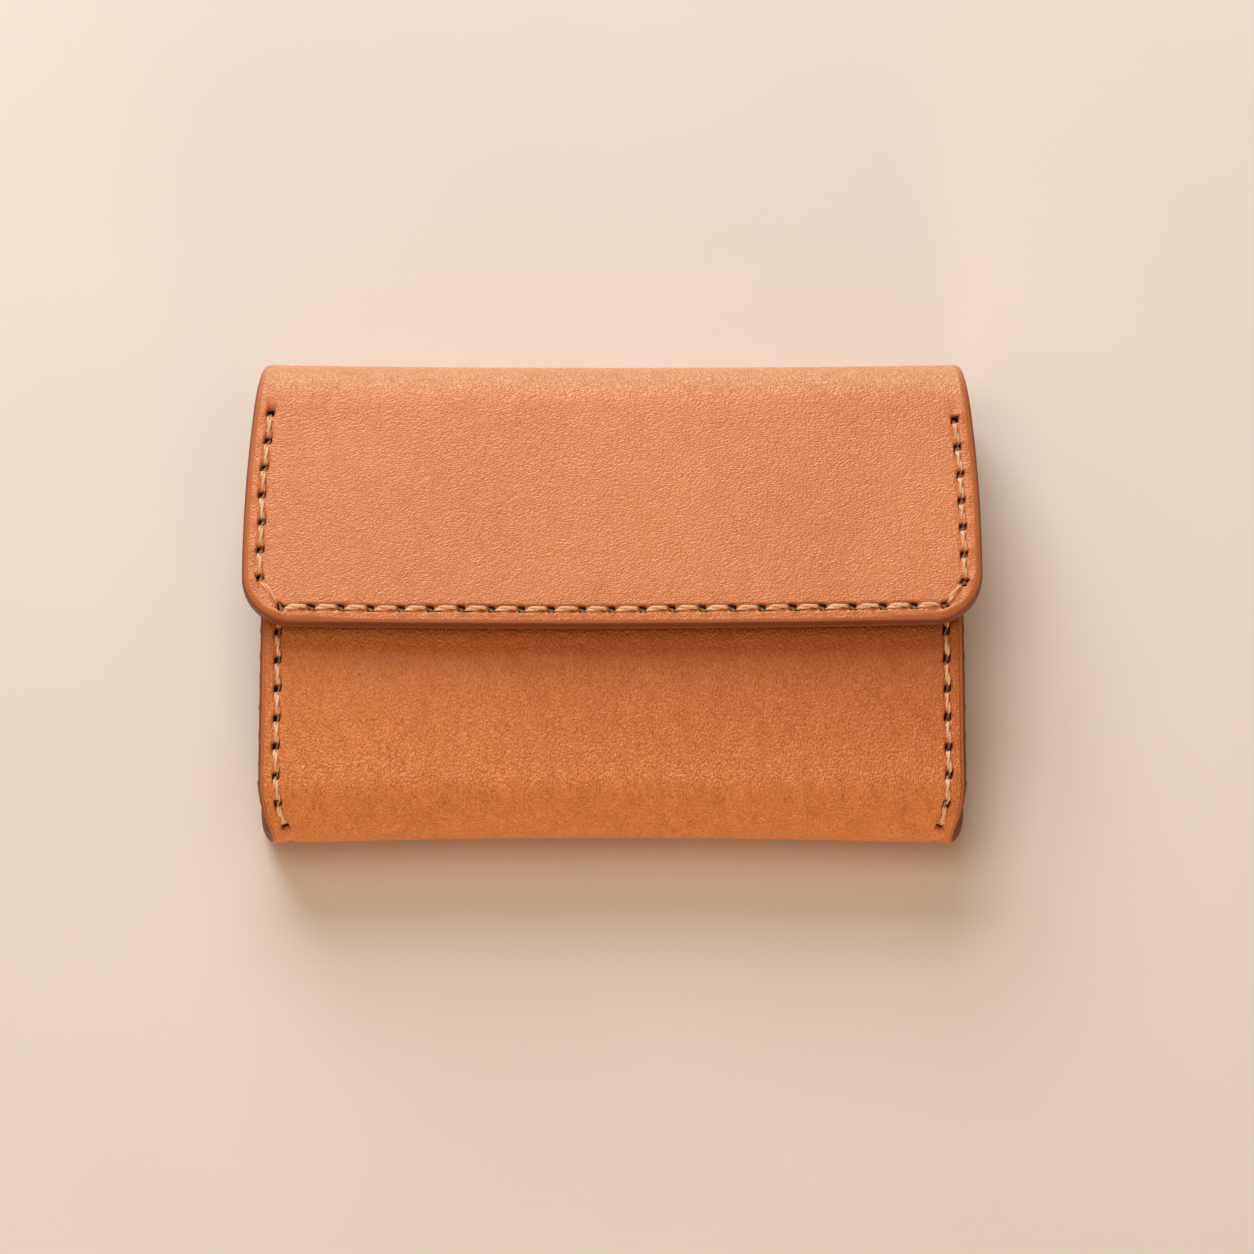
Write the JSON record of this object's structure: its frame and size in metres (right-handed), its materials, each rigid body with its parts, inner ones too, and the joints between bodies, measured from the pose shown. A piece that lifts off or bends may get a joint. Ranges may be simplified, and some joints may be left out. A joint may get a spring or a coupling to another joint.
{
  "type": "folded flap wallet",
  "caption": "Compact leather wallet: one strip folded at the bottom and over the top, with a stitched flap, V gussets, card pockets and a hidden magnet closure.",
  "frame": {"origin": "on the flat outside of the back panel, under the middle of the closed wallet", "axes": "+X along the folds, to the right of someone facing the front; +Y towards the top fold; +Z out of the front"},
  "size_m": [0.1002, 0.068, 0.0185],
  "materials": {
    "shell_leather": "pebbled vegetable-tanned cowhide, waxed",
    "lining_leather": "smooth natural lining leather",
    "gusset_leather": "thin smooth leather",
    "waxed_thread": "twisted waxed linen",
    "magnet_nickel": "nickel-plated disc magnet"
  },
  "bodies": {
    "back": {"back_panel": "shell_leather", "back_lining": "lining_leather", "back_pocket_high": "lining_leather", "back_pocket_low": "lining_leather", "gusset_left": "gusset_leather", "gusset_right": "gusset_leather", "thread_back_left": "waxed_thread", "thread_back_right": "waxed_thread", "thread_back_pockets": "waxed_thread"},
    "top_fold": {"top_fold": "shell_leather"},
    "flap": {"flap_panel": "shell_leather", "flap_lining": "lining_leather", "flap_magnet": "magnet_nickel", "thread_flap": "waxed_thread"},
    "front": {"front_panel": "shell_leather", "front_lining": "lining_leather", "front_pocket_high": "lining_leather", "front_pocket_low": "lining_leather", "front_magnet": "magnet_nickel", "thread_front_left": "waxed_thread", "thread_front_right": "waxed_thread", "thread_front_pockets": "waxed_thread"}
  },
  "joints": [
    {"name": "flap_open", "type": "hinge", "parent": "back", "child": "top_fold", "pos_m": [0, 0.03136, 0.00264], "axis": [-1, 0, 0], "range_deg": [0, 90]},
    {"name": "flap_unroll", "type": "hinge", "parent": "top_fold", "child": "flap", "pos_m": [0, 0.03136, 0.01536], "axis": [-1, 0, 0], "range_deg": [0, 90]},
    {"name": "front_spread", "type": "hinge", "parent": "back", "child": "front", "pos_m": [0, -0.034, 0.0072], "axis": [1, 0, 0], "range_deg": [0, 12], "deforming": ["gusset_left", "gusset_right"]}
  ],
  "couplings": [
    {"joint": "flap_unroll", "follows": "flap_open", "ratio": 1},
    {"joint": "front_spread", "follows": "flap_open", "ratio": 0.133}
  ]
}
